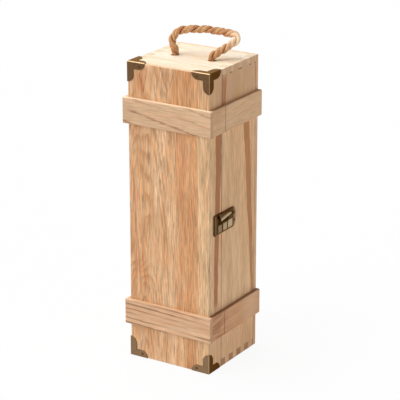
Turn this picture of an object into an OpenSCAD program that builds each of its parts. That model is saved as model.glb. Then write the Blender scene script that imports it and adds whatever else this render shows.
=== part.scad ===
// Wooden bottle box, standing upright.
// The front is a shallow lid that swings on two hinges at the left and latches on the right.
// Origin: centre of the footprint, on the floor. +Z is up and -Y is the front.

/* [Box] */
// Width across the front
box_w = 110; // [100:1:130]
// Depth from the front face to the back face
box_d = 108; // [100:1:130]
// Height
box_h = 365; // [330:1:400]
// Thickness of the side, top and bottom boards
board_t = 9; // [7:0.5:11]
// Thickness of the front and back panels
panel_t = 6; // [4:0.5:8]
// Finger joints and gaps counted along one side, front to back
finger_count = 12; // [10:2:16]
// How many of them belong to the lid
lid_fingers = 3; // [3:1:4]
// Width of the saw cut between the lid and the case
saw_gap = 0.6; // [0.3:0.1:0.8]
// Bevel along the outer wooden edges
edge_ease = 0.8; // [0.4:0.1:1.2]

/* [Battens] */
// Thickness of the battens that go round the box
batten_t = 5; // [4:0.5:8]
// Height of each batten
batten_h = 31; // [28:1:40]
// Distance from the end of the box to the nearer edge of a batten
batten_inset = 42; // [38:1:60]

/* [Corner brackets] */
// Length of each leg along its edge
bracket_leg = 23.5; // [20:0.5:26]
// Width of each leg
bracket_w = 8; // [7:0.5:10]
// Thickness of the sheet
bracket_t = 0.8; // [0.5:0.1:1.2]
// Distance of a nail from the corner, along the leg
bracket_nail_along = 16.5; // [14:0.5:18]
// Distance of a nail from the edge, across the leg
bracket_nail_in = 4; // [3:0.1:5]

/* [Nails and screws] */
// Radius of a nail's shank
nail_r = 0.7; // [0.5:0.1:0.9]
// Length of a nail's shank
nail_len = 5; // [4:0.5:5.5]
// Radius of a nail's domed head
nail_head_r = 1.5; // [1.2:0.1:1.8]
// Height of a nail's domed head
nail_head_h = 0.7; // [0.4:0.1:1]
// Radius of a hinge screw's shank
screw_r = 1.1; // [0.8:0.1:1.3]
// Length of a hinge screw
screw_len = 9; // [7:0.5:12]
// Radius of a hinge screw's head
screw_head_r = 2.1; // [1.8:0.1:2.4]
// Clearance round a shank in its hole
fit_gap = 0.05; // [0.03:0.01:0.1]

/* [Hinges] */
// Height of a hinge
hinge_h = 24; // [21:1:27]
// Reach of a leaf from the pin's centre
leaf_w = 18; // [14:0.5:20]
// Thickness of a leaf
leaf_t = 1; // [0.8:0.1:1.2]
// Outer radius of a knuckle
knuckle_r = 2.4; // [2.2:0.1:3]
// Radius of the pin
pin_r = 1.1; // [0.9:0.1:1.3]
// Clearance between parts of a hinge that pass each other
hinge_gap = 0.3; // [0.2:0.05:0.4]

/* [Latch] */
// Height of the two latch plates
latch_h = 25; // [22:1:30]
// Thickness of the latch plates and of the bar's sheet
latch_t = 1; // [0.8:0.1:1.2]
// Length of the plate on the lid
lid_plate_l = 18.5; // [17:0.5:20]
// Length of the plate on the case
case_plate_l = 30; // [28:0.5:36]
// Radius of the rolled bead on the lid plate's front edge
bead_r = 1.6; // [1.2:0.1:2]
// Corner radius of the case plate
plate_corner_r = 7; // [5:0.5:8]
// Height of the raised pads pressed into the plates
pad_rise = 0.5; // [0.3:0.1:0.7]
// Distance of the bar's pivot from the case plate's rear edge
pivot_in = 11; // [10:0.5:12]
// Height of the bar's pivot above the middle of the plates
pivot_up = 6.5; // [6:0.5:7]
// Radius of the pivot rivet
rivet_r = 1.5; // [1.2:0.1:1.8]
// Reach of the bar in front of the saw cut
bar_reach = 9; // [8:0.5:10]
// How far the bar's hood stands out from the plates
hood_out = 4.2; // [3.8:0.1:5]
// Drop of the hood from its top edge to its lip
hood_drop = 8; // [6:0.5:8.5]
// Gap between the bar and the plates
bar_gap = 0.3; // [0.2:0.05:0.5]

/* [Rope handle] */
// Diameter of the rope
rope_d = 8; // [7:0.5:8.5]
// Distance between the two rope holes
rope_span = 50; // [46:1:54]
// Clearance round the rope in its hole
rope_gap = 0.5; // [0.3:0.1:0.8]
// Bevel round the mouth of a rope hole
mouth_ease = 0.8; // [0.5:0.1:1.2]
// Height of the handle's turning axis over the top
rope_axis_up = 5; // [5:0.5:6]
// Radius of the knots under the top board
knot_r = 10; // [9:0.5:11]
// Length of the loose tail under a knot
tail_len = 10; // [6:1:16]

/* [Hidden] */

// Smoothness of every round face
$fn = 48;
// Overshoot of a cut past the face that it opens
cut = 1;

// Colours as the photograph shows them
pine_panel = [0.84, 0.66, 0.50];
pine_side = [0.74, 0.60, 0.45];
pine_top = [0.97, 0.90, 0.80];
pine_batten = [0.84, 0.69, 0.55];
old_bronze = [0.36, 0.27, 0.18];
rope_tan = [0.76, 0.55, 0.36];

half_w = box_w / 2;
half_d = box_d / 2;
inner_w = half_w - board_t;
inner_front = panel_t - half_d;
inner_back = half_d - panel_t;
inner_d = inner_back - inner_front;
top_z = box_h - board_t;

finger_w = box_d / finger_count;
lid_d = finger_w * lid_fingers;
split_y = lid_d - half_d;
lid_end = split_y - saw_gap / 2;
case_start = split_y + saw_gap / 2;

lower_batten_z = batten_inset;
upper_batten_z = box_h - batten_inset - batten_h;
batten_face = half_w + batten_t;

// The hinge pin's centre line stands off the battens on the left
hinge_face = knuckle_r + hinge_gap;
hinge_x = -batten_face - hinge_face;
segment_h = hinge_h / 3;
lower_hinge_z = lower_batten_z + batten_h / 2;
upper_hinge_z = upper_batten_z + batten_h / 2;
screw_up = hinge_h / 4;
screw_out = (hinge_face + leaf_w) / 2;

// The latch is set at mid height on the right, and its own origin is on the saw cut
latch_z = box_h / 2;
pad_edge = 2;
nail_edge = 3.5;
pad_front = 2 * bead_r + nail_edge + 2.5;
bar_base = latch_t + bar_gap;
bar_top = latch_h / 2 - 0.5;
bar_end_r = bar_top - pivot_up;
pivot_back = case_plate_l - pivot_in;
keeper_r = 1.6;
keeper_back = 3.5 - bar_reach;

rope_r = rope_d / 2;
rope_hole_r = rope_r + rope_gap;
rope_axis_z = box_h + rope_axis_up;
rope_foot_z = rope_axis_z - rope_r - 0.4;
knot_top_z = top_z - 0.3;
rope_sides = 10;
end_rings = 3;

// The loop as it stands, from root to root: across from the middle of the rope's
// holes, back from them, and up from the turning axis
rope_route = [
    [-25, 0, 0], [-27, -1, 6], [-28, -1, 13], [-25, 2, 20], [-18, 6, 24],
    [-10, 10, 25], [-2, 15, 25], [6, 19, 25], [14, 22, 24], [22, 25, 23],
    [31, 27, 22], [40, 26, 21], [44, 22, 17], [40, 15, 12], [34, 9, 7],
    [29, 4, 3], [25, 0, 0]
];

function unit(v) = v / norm(v);
function last(list) = list[len(list) - 1];

// The route with its legs moved to the rope holes' real distance
function rope_point(p) = [p[0] + sign(p[0]) * (rope_span - 50) / 2, p[1], p[2]];
route = [for (p = rope_route) rope_point(p)];
function route_way(i) =
    unit(route[min(i + 1, len(route) - 1)] - route[max(i - 1, 0)]);

// Rings of the rope: a round cap at each root, and one ring at each point between them
function cap_turn(i) = 90 * i / end_rings;
rope_rings = concat(
    [for (i = [end_rings - 1:-1:1])
        [route[0] - route_way(0) * rope_r * sin(cap_turn(i)),
         route_way(0), rope_r * cos(cap_turn(i))]],
    [for (i = [0:len(route) - 1]) [route[i], route_way(i), rope_r]],
    [for (i = [1:end_rings - 1])
        [last(route) + route_way(len(route) - 1) * rope_r * sin(cap_turn(i)),
         route_way(len(route) - 1), rope_r * cos(cap_turn(i))]]
);
rope_tips = [
    route[0] - route_way(0) * rope_r,
    last(route) + route_way(len(route) - 1) * rope_r
];
// A direction that the rope never points in, to start every ring from
ring_guide = unit([0.3, -1, 1]);
function ring_points(ring) =
    let (across = unit(cross(ring[1], ring_guide)), over = cross(ring[1], across))
    [for (k = [0:rope_sides - 1])
        ring[0] + ring[2] * (cos(360 * k / rope_sides) * across
                           + sin(360 * k / rope_sides) * over)];
tube_points = concat(
    [for (ring = rope_rings) each ring_points(ring)],
    rope_tips
);
first_tip = len(rope_rings) * rope_sides;
last_ring = (len(rope_rings) - 1) * rope_sides;
tube_faces = concat(
    [for (i = [0:len(rope_rings) - 2], k = [0:rope_sides - 1])
        let (a = i * rope_sides + k, b = i * rope_sides + (k + 1) % rope_sides)
        [a, b, b + rope_sides]],
    [for (i = [0:len(rope_rings) - 2], k = [0:rope_sides - 1])
        let (a = i * rope_sides + k, b = i * rope_sides + (k + 1) % rope_sides)
        [a, b + rope_sides, a + rope_sides]],
    [for (k = [0:rope_sides - 1]) [first_tip, (k + 1) % rope_sides, k]],
    [for (k = [0:rope_sides - 1])
        [first_tip + 1, last_ring + k, last_ring + (k + 1) % rope_sides]]
);

// ---------------------------------------------------------------- shared shapes

// Everything in front of the saw cut
module lid_zone() {
    translate([-box_w, -box_d, -cut])
        cube([2 * box_w, box_d + lid_end, box_h + 2 * cut]);
}

// Everything behind the saw cut
module case_zone() {
    translate([-box_w, case_start, -cut])
        cube([2 * box_w, box_d, box_h + 2 * cut]);
}

// A board that stands with its face at y = 0, bevelled round that face
module faced_board(w, t, h) {
    e = edge_ease;
    intersection() {
        linear_extrude(h)
            polygon([[-w / 2, t], [-w / 2, e], [e - w / 2, 0],
                     [w / 2 - e, 0], [w / 2, e], [w / 2, t]]);
        rotate([90, 0, 90])
            translate([0, 0, -w / 2])
                linear_extrude(w)
                    polygon([[0, e], [e, 0], [t, 0], [t, h], [e, h], [0, h - e]]);
    }
}

// Where the top and bottom boards' fingers pass through the right-hand side
module side_pockets() {
    for (i = [1:2:finger_count - 1])
        for (z = [-cut, top_z])
            translate([inner_w - cut, i * finger_w - half_d, z])
                cube([board_t + 2 * cut, finger_w, board_t + cut]);
}

// Where the sides' fingers pass through the top or bottom board
module end_pockets() {
    for (m = [0, 1])
        mirror([m, 0, 0])
            for (i = [0:2:finger_count - 2])
                translate([inner_w, i * finger_w - half_d, -cut])
                    cube([board_t + cut, finger_w, board_t + 2 * cut]);
}

// The right-hand side in one piece, before the lid is sawn off
module side_board() {
    difference() {
        translate([inner_w, inner_front, 0])
            cube([board_t, inner_d, box_h]);
        side_pockets();
    }
}

// The top or bottom board in one piece, before the lid is sawn off
module end_board() {
    difference() {
        translate([-half_w, inner_front, 0])
            cube([box_w, inner_d, board_t]);
        end_pockets();
    }
}

// A batten along the right-hand side in one piece, bevelled on its long outer edges
module side_batten() {
    e = edge_ease;
    translate([half_w, half_d, 0])
        rotate([90, 0, 0])
            linear_extrude(box_d)
                polygon([[0, 0], [batten_t - e, 0], [batten_t, e],
                         [batten_t, batten_h - e], [batten_t - e, batten_h],
                         [0, batten_h]]);
}

// A domed nail that points down -Z, with its head on z = 0
module nail() {
    dome_r = (nail_head_r * nail_head_r + nail_head_h * nail_head_h) / (2 * nail_head_h);
    intersection() {
        translate([0, 0, nail_head_h - dome_r])
            sphere(r = dome_r);
        cylinder(r = nail_head_r + cut, h = nail_head_h + cut);
    }
    translate([0, 0, -nail_len])
        cylinder(r = nail_r, h = nail_len + nail_head_h / 2);
}

// The hole that a nail stands in
module nail_hole() {
    translate([0, 0, -nail_len - fit_gap])
        cylinder(r = nail_r + fit_gap, h = nail_len + cut);
}

// A countersunk slotted screw that points down -Z, with its head flush with z = 0
module screw() {
    difference() {
        union() {
            translate([0, 0, -leaf_t])
                cylinder(r1 = screw_r, r2 = screw_head_r, h = leaf_t);
            translate([0, 0, -screw_len])
                cylinder(r = screw_r, h = screw_len - leaf_t);
        }
        translate([-screw_head_r - cut, -0.25, -0.4])
            cube([2 * screw_head_r + 2 * cut, 0.5, cut]);
    }
}

// The hole that a screw stands in, through the leaf and into the wood
module screw_hole() {
    translate([0, 0, -leaf_t])
        cylinder(r1 = screw_r + fit_gap, r2 = screw_head_r + fit_gap, h = leaf_t);
    translate([0, 0, -screw_len - fit_gap])
        cylinder(r = screw_r + fit_gap, h = screw_len - leaf_t + 2 * fit_gap);
    cylinder(r = screw_head_r + fit_gap, h = cut);
}

// ---------------------------------------------------------------- corner brackets

// Two legs that leave the corner along +X and +Y, each ending in a quarter round
module bracket_face() {
    for (swap = [0, 1])
        mirror([swap, -swap, 0]) {
            cube([bracket_leg - bracket_w, bracket_w, bracket_t]);
            intersection() {
                translate([bracket_leg - bracket_w, 0, 0])
                    cylinder(r = bracket_w, h = bracket_t);
                cube([bracket_leg, bracket_w, bracket_t]);
            }
        }
}

// Moves children to the bracket's two nails: one in front and one at the side
module at_bracket_nails() {
    translate([bracket_nail_along, -bracket_t, bracket_nail_in])
        rotate([90, 0, 0])
            children();
    translate([-bracket_t, bracket_nail_along, bracket_nail_in])
        rotate([0, -90, 0])
            children();
}

// A bracket on a corner at the origin, with the wood in +X +Y +Z
module corner_bracket() {
    difference() {
        union() {
            translate([0, 0, -bracket_t])
                bracket_face();
            rotate([90, 0, 0])
                bracket_face();
            rotate([0, -90, 0])
                bracket_face();
            rotate([0, 90, 0])
                cylinder(r = bracket_t, h = bracket_leg);
            rotate([-90, 0, 0])
                cylinder(r = bracket_t, h = bracket_leg);
            cylinder(r = bracket_t, h = bracket_leg);
            sphere(r = bracket_t);
        }
        cube([bracket_leg + cut, bracket_leg + cut, bracket_leg + cut]);
        at_bracket_nails()
            nail_hole();
    }
}

// Moves a bracket's children to one corner of the front. The bottom brackets stand
// on the floor, let into the wood by their own thickness.
module at_corner(side, end) {
    mirror([side > 0 ? 1 : 0, 0, 0])
        translate([-half_w, -half_d, end > 0 ? box_h : bracket_t])
            mirror([0, 0, end > 0 ? 1 : 0])
                children();
}

// Everything that the brackets and their nails take out of the wood
module bracket_cuts() {
    for (side = [-1, 1]) {
        for (end = [-1, 1])
            at_corner(side, end)
                at_bracket_nails()
                    nail_hole();
        at_corner(side, -1)
            translate([0, 0, -bracket_t])
                bracket_face();
    }
}

// ---------------------------------------------------------------- hinges

// Moves children to a hinge's pin, with the battens' outer face at x = hinge_face
module at_hinge(z) {
    translate([hinge_x, split_y, z])
        children();
}

// Moves children to the screws of one hinge leaf: way is 1 for the case, -1 for the lid
module at_leaf_screws(way) {
    for (up = [-screw_up, screw_up])
        translate([hinge_face - leaf_t, way * screw_out, up])
            rotate([0, -90, 0])
                children();
}

// One leaf that reaches to +Y, with knuckles at the listed heights on the pin
module hinge_leaf(knuckles) {
    corner = 2;
    difference() {
        union() {
            translate([hinge_face - leaf_t, 0, 0])
                rotate([90, 0, 90])
                    linear_extrude(leaf_t)
                        polygon([[hinge_face, -hinge_h / 2],
                                 [leaf_w - corner, -hinge_h / 2],
                                 [leaf_w, corner - hinge_h / 2],
                                 [leaf_w, hinge_h / 2 - corner],
                                 [leaf_w - corner, hinge_h / 2],
                                 [hinge_face, hinge_h / 2]]);
            for (k = knuckles) {
                translate([0, 0, k[0]])
                    cylinder(r = knuckle_r, h = k[1] - k[0]);
                translate([hinge_face - leaf_t, 0, k[0]])
                    cube([leaf_t, hinge_face + cut, k[1] - k[0]]);
            }
        }
        translate([0, 0, -hinge_h])
            cylinder(r = pin_r + fit_gap, h = 2 * hinge_h);
        at_leaf_screws(1)
            screw_hole();
    }
}

module case_leaf(z) {
    edge = segment_h / 2;
    at_hinge(z)
        hinge_leaf([[-hinge_h / 2, -edge], [edge, hinge_h / 2]]);
}

module lid_leaf(z) {
    edge = segment_h / 2 - hinge_gap;
    at_hinge(z)
        mirror([0, 1, 0])
            hinge_leaf([[-edge, edge]]);
}

// The pin, with a small head at each end
module hinge_pin(z) {
    head_h = 0.6;
    at_hinge(z) {
        translate([0, 0, -hinge_h / 2 - head_h])
            cylinder(r = pin_r, h = hinge_h + 2 * head_h);
        for (m = [0, 1])
            mirror([0, 0, m])
                translate([0, 0, hinge_h / 2 + fit_gap])
                    cylinder(r1 = pin_r * 1.7, r2 = pin_r * 1.2, h = head_h);
    }
}

// The screw holes of the hinges in the wood, for the case or for the lid
module hinge_cuts(way) {
    for (z = [lower_hinge_z, upper_hinge_z])
        at_hinge(z)
            at_leaf_screws(way)
                screw_hole();
}

// ---------------------------------------------------------------- latch

// Moves children to the latch: x = 0 on the wood and y = 0 on the saw cut
module at_latch() {
    translate([half_w, split_y, latch_z])
        children();
}

// Moves children out of the latch's face at one place, with +Z pointing away from the wood
module on_latch(out, back, up) {
    at_latch()
        translate([out, back, up])
            rotate([0, 90, 0])
                children();
}

// The nails of each plate, as places behind the saw cut and above the middle
lid_nail_places = [[2 * bead_r + nail_edge + 1.3 - lid_plate_l, latch_h / 2 - nail_edge]];
case_nail_places = [
    [case_plate_l - nail_edge, plate_corner_r + 1 - latch_h / 2],
    [case_plate_l - nail_edge, latch_h / 2 - plate_corner_r - 1]
];

// The case plate's rivet goes through the plate and into the wood behind it
module rivet_hole() {
    on_latch(-nail_len - fit_gap, pivot_back, pivot_up)
        cylinder(r = rivet_r + fit_gap, h = nail_len + bar_base + latch_t + cut);
}

module latch_lid_cuts() {
    for (p = lid_nail_places)
        on_latch(latch_t, p[0], p[1])
            nail_hole();
    on_latch(-nail_len, keeper_back, pivot_up)
        cylinder(r = nail_r + fit_gap, h = nail_len + latch_t + cut);
}

module latch_case_cuts() {
    for (p = case_nail_places)
        on_latch(latch_t, p[0], p[1])
            nail_hole();
    rivet_hole();
}

// A raised pad on the lower half of a plate, between two places behind the saw cut
module latch_pad(from, to) {
    translate([latch_t, from, pad_edge - latch_h / 2])
        cube([pad_rise, to - from, latch_h / 2 - pad_edge - 1]);
}

// The bar: a hood over both plates, folded from sheet, with a round flat end at its pivot
module latch_bar_shape() {
    lip = hood_drop / 5;
    back_end = pivot_back - bar_end_r;
    out = bar_base + hood_out;
    top = bar_top;
    translate([0, back_end, 0])
        rotate([90, 0, 0])
            linear_extrude(back_end + bar_reach)
                polygon([[bar_base, top], [bar_base + latch_t, top],
                         [out, top - hood_drop + lip], [out, top - hood_drop],
                         [out - latch_t, top - hood_drop],
                         [out - latch_t, top - hood_drop + lip / 2],
                         [bar_base + latch_t / 2, top - latch_t],
                         [bar_base, top - latch_t]]);
    translate([bar_base, back_end - latch_t, pivot_up - bar_end_r])
        cube([latch_t, bar_end_r + latch_t, 2 * bar_end_r]);
    translate([bar_base, pivot_back, pivot_up])
        rotate([0, 90, 0])
            cylinder(r = bar_end_r, h = latch_t);
    // The web that closes the hood at its pivot end
    translate([bar_base, back_end, 0])
        rotate([90, 0, 0])
            linear_extrude(latch_t)
                polygon([[0, top], [latch_t, top],
                         [hood_out, top - hood_drop + lip], [hood_out, top - hood_drop],
                         [0, top - hood_drop]]);
}

// ---------------------------------------------------------------- case

module back_panel() {
    color(pine_panel)
        translate([0, half_d, 0])
            rotate([0, 0, 180])
                faced_board(box_w, panel_t, box_h);
}

module case_right_side() {
    color(pine_side)
        difference() {
            intersection() {
                side_board();
                case_zone();
            }
            latch_case_cuts();
        }
}

module case_left_side() {
    color(pine_side)
        difference() {
            intersection() {
                mirror([1, 0, 0])
                    side_board();
                case_zone();
            }
            hinge_cuts(1);
        }
}

module bottom_board() {
    color(pine_top)
        intersection() {
            end_board();
            case_zone();
        }
}

module top_board() {
    color(pine_top)
        difference() {
            intersection() {
                translate([0, 0, top_z])
                    end_board();
                case_zone();
            }
            for (side = [-1, 1])
                translate([side * rope_span / 2, 0, top_z - cut]) {
                    cylinder(r = rope_hole_r, h = board_t + 2 * cut);
                    translate([0, 0, board_t + cut - mouth_ease])
                        cylinder(r1 = rope_hole_r, r2 = rope_hole_r + mouth_ease,
                                 h = mouth_ease);
                }
        }
}

// The part of a side batten that stays on the case: side is -1 on the left
module case_batten(side, z) {
    color(pine_batten)
        difference() {
            intersection() {
                mirror([side < 0 ? 1 : 0, 0, 0])
                    translate([0, 0, z])
                        side_batten();
                case_zone();
            }
            if (side < 0)
                hinge_cuts(1);
        }
}

// ---------------------------------------------------------------- lid

module front_panel() {
    color(pine_panel)
        difference() {
            translate([0, -half_d, 0])
                faced_board(box_w, panel_t, box_h);
            bracket_cuts();
        }
}

module lid_right_rail() {
    color(pine_side)
        difference() {
            intersection() {
                side_board();
                lid_zone();
            }
            bracket_cuts();
            latch_lid_cuts();
        }
}

module lid_left_rail() {
    color(pine_side)
        difference() {
            intersection() {
                mirror([1, 0, 0])
                    side_board();
                lid_zone();
            }
            bracket_cuts();
            hinge_cuts(-1);
        }
}

module lid_bottom_rail() {
    color(pine_top)
        difference() {
            intersection() {
                end_board();
                lid_zone();
            }
            bracket_cuts();
        }
}

module lid_top_rail() {
    color(pine_top)
        difference() {
            intersection() {
                translate([0, 0, top_z])
                    end_board();
                lid_zone();
            }
            bracket_cuts();
        }
}

// The front battens cover the ends of the side battens
module front_batten(z) {
    color(pine_batten)
        translate([0, -half_d - batten_t, z])
            faced_board(2 * batten_face, batten_t, batten_h);
}

// The part of a side batten that swings with the lid
module lid_batten(side, z) {
    color(pine_batten)
        difference() {
            intersection() {
                mirror([side < 0 ? 1 : 0, 0, 0])
                    translate([0, 0, z])
                        side_batten();
                lid_zone();
            }
            if (side < 0)
                hinge_cuts(-1);
        }
}

module bracket(side, end) {
    color(old_bronze)
        at_corner(side, end)
            corner_bracket();
}

module bracket_nails() {
    color(old_bronze)
        for (side = [-1, 1], end = [-1, 1])
            at_corner(side, end)
                at_bracket_nails()
                    nail();
}

module hinge_screws(way) {
    color(old_bronze)
        for (z = [lower_hinge_z, upper_hinge_z])
            at_hinge(z)
                at_leaf_screws(way)
                    screw();
}

module latch_lid_plate() {
    color(old_bronze)
        difference() {
            at_latch() {
                translate([0, bead_r - lid_plate_l, -latch_h / 2])
                    cube([latch_t, lid_plate_l - bead_r - saw_gap, latch_h]);
                translate([bead_r, bead_r - lid_plate_l, bead_r - latch_h / 2])
                    cylinder(r = bead_r, h = latch_h - 2 * bead_r);
                for (up = [-1, 1])
                    translate([bead_r, bead_r - lid_plate_l, up * (latch_h / 2 - bead_r)])
                        sphere(r = bead_r);
                latch_pad(pad_front - lid_plate_l, -saw_gap - 1);
            }
            latch_lid_cuts();
        }
}

// The stud that the bar's hood drops over
module latch_keeper() {
    color(old_bronze) {
        on_latch(latch_t, keeper_back, pivot_up)
            cylinder(r = keeper_r, h = hood_out / 3);
        on_latch(fit_gap - nail_len, keeper_back, pivot_up)
            cylinder(r = nail_r, h = nail_len + latch_t);
    }
}

module latch_lid_nails() {
    color(old_bronze)
        for (p = lid_nail_places)
            on_latch(latch_t, p[0], p[1])
                nail();
}

module latch_case_plate() {
    straight = case_plate_l - plate_corner_r;
    color(old_bronze)
        difference() {
            at_latch() {
                translate([0, saw_gap, -latch_h / 2])
                    cube([latch_t, straight - saw_gap, latch_h]);
                translate([0, saw_gap, plate_corner_r - latch_h / 2])
                    cube([latch_t, case_plate_l - saw_gap, latch_h - 2 * plate_corner_r]);
                for (up = [-1, 1])
                    translate([0, straight, up * (latch_h / 2 - plate_corner_r)])
                        rotate([0, 90, 0])
                            cylinder(r = plate_corner_r, h = latch_t);
                latch_pad(saw_gap + 1, case_plate_l / 3);
                latch_pad(case_plate_l / 3 + 2, case_plate_l - plate_corner_r - 1);
            }
            latch_case_cuts();
        }
}

module latch_case_nails() {
    color(old_bronze)
        for (p = case_nail_places)
            on_latch(latch_t, p[0], p[1])
                nail();
}

module latch_rivet() {
    head_h = 0.9;
    color(old_bronze) {
        on_latch(-nail_len, pivot_back, pivot_up)
            cylinder(r = rivet_r, h = nail_len + bar_base + latch_t + fit_gap);
        on_latch(bar_base + latch_t + fit_gap, pivot_back, pivot_up)
            cylinder(r1 = rivet_r * 1.7, r2 = rivet_r * 1.2, h = head_h);
    }
}

module latch_bar() {
    color(old_bronze)
        difference() {
            at_latch()
                latch_bar_shape();
            rivet_hole();
        }
}

// ---------------------------------------------------------------- rope handle

// The two ends of the rope, down through their holes to a knot and a loose tail
module rope_ends() {
    color(rope_tan)
        for (side = [-1, 1])
            translate([side * rope_span / 2, 0, 0]) {
                translate([0, 0, knot_top_z - knot_r])
                    cylinder(r = rope_r, h = rope_foot_z - knot_top_z + knot_r);
                intersection() {
                    translate([0, 0, knot_top_z - knot_r * 0.8])
                        sphere(r = knot_r);
                    translate([-knot_r, -knot_r, knot_top_z - 2 * knot_r])
                        cube(2 * knot_r);
                }
                translate([0, 0, knot_top_z - 1.8 * knot_r - tail_len])
                    cylinder(r = rope_r, h = tail_len + knot_r);
            }
}

module rope_handle() {
    color(rope_tan)
        translate([0, 0, rope_axis_z])
            polyhedron(points = tube_points, faces = tube_faces, convexity = 6);
}

// ---------------------------------------------------------------- the box

back_panel();
case_left_side();
case_right_side();
top_board();
bottom_board();
case_batten(-1, upper_batten_z);  // batten_left_upper_case
case_batten(-1, lower_batten_z);  // batten_left_lower_case
case_batten(1, upper_batten_z);  // batten_right_upper_case
case_batten(1, lower_batten_z);  // batten_right_lower_case
front_panel();
lid_left_rail();
lid_right_rail();
lid_top_rail();
lid_bottom_rail();
front_batten(upper_batten_z);  // batten_front_upper
front_batten(lower_batten_z);  // batten_front_lower
lid_batten(-1, upper_batten_z);  // batten_left_upper_lid
lid_batten(-1, lower_batten_z);  // batten_left_lower_lid
lid_batten(1, upper_batten_z);  // batten_right_upper_lid
lid_batten(1, lower_batten_z);  // batten_right_lower_lid
bracket(-1, 1);  // bracket_top_left
bracket(1, 1);  // bracket_top_right
bracket(-1, -1);  // bracket_bottom_left
bracket(1, -1);  // bracket_bottom_right
bracket_nails();
case_leaf(upper_hinge_z);  // hinge_upper_case_leaf
case_leaf(lower_hinge_z);  // hinge_lower_case_leaf
lid_leaf(upper_hinge_z);  // hinge_upper_lid_leaf
lid_leaf(lower_hinge_z);  // hinge_lower_lid_leaf
hinge_pin(upper_hinge_z);  // hinge_upper_pin
hinge_pin(lower_hinge_z);  // hinge_lower_pin
hinge_screws(1);  // hinge_case_screws
hinge_screws(-1);  // hinge_lid_screws
latch_lid_plate();
latch_keeper();
latch_lid_nails();
latch_case_plate();
latch_case_nails();
latch_rivet();
latch_bar();
rope_ends();
rope_handle();
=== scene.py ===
# %% [markdown]
# # A wooden bottle box, dressed
# The box was built as solids in a CAD program, and this script gives it its looks.
# Everything here is in metres, in the same frame: the box stands on z = 0, its lid
# faces -Y and its latch faces +X.

# %% Load the frame
import math

import bpy
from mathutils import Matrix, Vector


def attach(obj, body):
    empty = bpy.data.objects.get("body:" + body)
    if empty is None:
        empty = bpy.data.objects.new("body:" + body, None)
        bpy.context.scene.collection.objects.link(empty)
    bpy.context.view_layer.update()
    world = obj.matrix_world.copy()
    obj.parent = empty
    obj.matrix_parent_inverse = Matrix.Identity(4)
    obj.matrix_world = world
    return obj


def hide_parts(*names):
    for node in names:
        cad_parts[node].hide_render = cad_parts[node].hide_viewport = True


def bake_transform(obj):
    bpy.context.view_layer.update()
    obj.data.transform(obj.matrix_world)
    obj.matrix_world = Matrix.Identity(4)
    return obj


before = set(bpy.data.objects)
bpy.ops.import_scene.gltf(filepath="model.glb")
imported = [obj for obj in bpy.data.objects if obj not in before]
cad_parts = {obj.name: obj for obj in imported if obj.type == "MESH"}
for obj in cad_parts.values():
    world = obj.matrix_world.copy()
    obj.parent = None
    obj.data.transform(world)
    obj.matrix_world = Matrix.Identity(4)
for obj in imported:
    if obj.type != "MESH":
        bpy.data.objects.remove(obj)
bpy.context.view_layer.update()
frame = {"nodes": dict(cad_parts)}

MM = 0.001
nodes = frame["nodes"]


def add_object(name, data):
    """Puts a mesh, a lamp or a camera into the scene."""
    made = bpy.data.objects.new(name, data)
    bpy.context.scene.collection.objects.link(made)
    return made


# %% [markdown]
# ## The camera
# The photograph was taken with a long lens from the front right, a little above the box.
# A camera is easiest to place by the point that it looks at, the direction that it looks
# from, and its distance. Blender's camera looks along its own -Z, so a quaternion turns
# that way onto the line to the target.

# %% Camera
LOOK_AT = Vector((0.00871, 0.0, 0.19302))
CAMERA_AZIMUTH, CAMERA_ELEVATION = math.radians(32.18), math.radians(19.29)
CAMERA_DISTANCE = 2.121
LENS_MM, SENSOR_MM = 162.0, 36.0
NEAREST, FARTHEST = 0.05, 60.0

back = Vector((
    math.sin(CAMERA_AZIMUTH) * math.cos(CAMERA_ELEVATION),
    -math.cos(CAMERA_AZIMUTH) * math.cos(CAMERA_ELEVATION),
    math.sin(CAMERA_ELEVATION),
))
camera = add_object("camera", bpy.data.cameras.new("camera"))
camera.location = LOOK_AT + back * CAMERA_DISTANCE
camera.rotation_mode = "QUATERNION"
camera.rotation_quaternion = (-back).to_track_quat("-Z", "Y")
camera.data.sensor_width, camera.data.lens = SENSOR_MM, LENS_MM
camera.data.clip_start, camera.data.clip_end = NEAREST, FARTHEST
bpy.context.scene.camera = camera
print("camera at", [round(x, 3) for x in camera.location])

# %% [markdown]
# ## The rope's line
# The handle is one piece of laid rope. It comes up through a hole in the top board, runs
# over in a loose arch that leans back, folds near the right, and goes down the other
# hole. The points are the CAD route's own, and a Catmull-Rom curve through them turns
# the straight steps into one smooth line, sampled evenly so that the twist is even too.

# %% Route of the rope
ROPE_SAMPLE = 0.5 * MM
ROPE_AXIS_Z = 0.370
CURVE_STEPS, TINY = 12, 1e-12
ROUTE = [
    (-25, 0, -12.5), (-25, 0, -8), (-25, 0, -4),
    (-25, 0, 0), (-27, -1, 6), (-28, -1, 13), (-25, 2, 20), (-18, 6, 24),
    (-10, 10, 25), (-2, 15, 25), (6, 19, 25), (14, 22, 24), (22, 25, 23),
    (31, 27, 22), (40, 26, 21), (44, 22, 17), (40, 15, 12), (34, 9, 7),
    (29, 4, 3), (25, 0, 0),
    (25, 0, -4), (25, 0, -8), (25, 0, -12.5),
]


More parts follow.
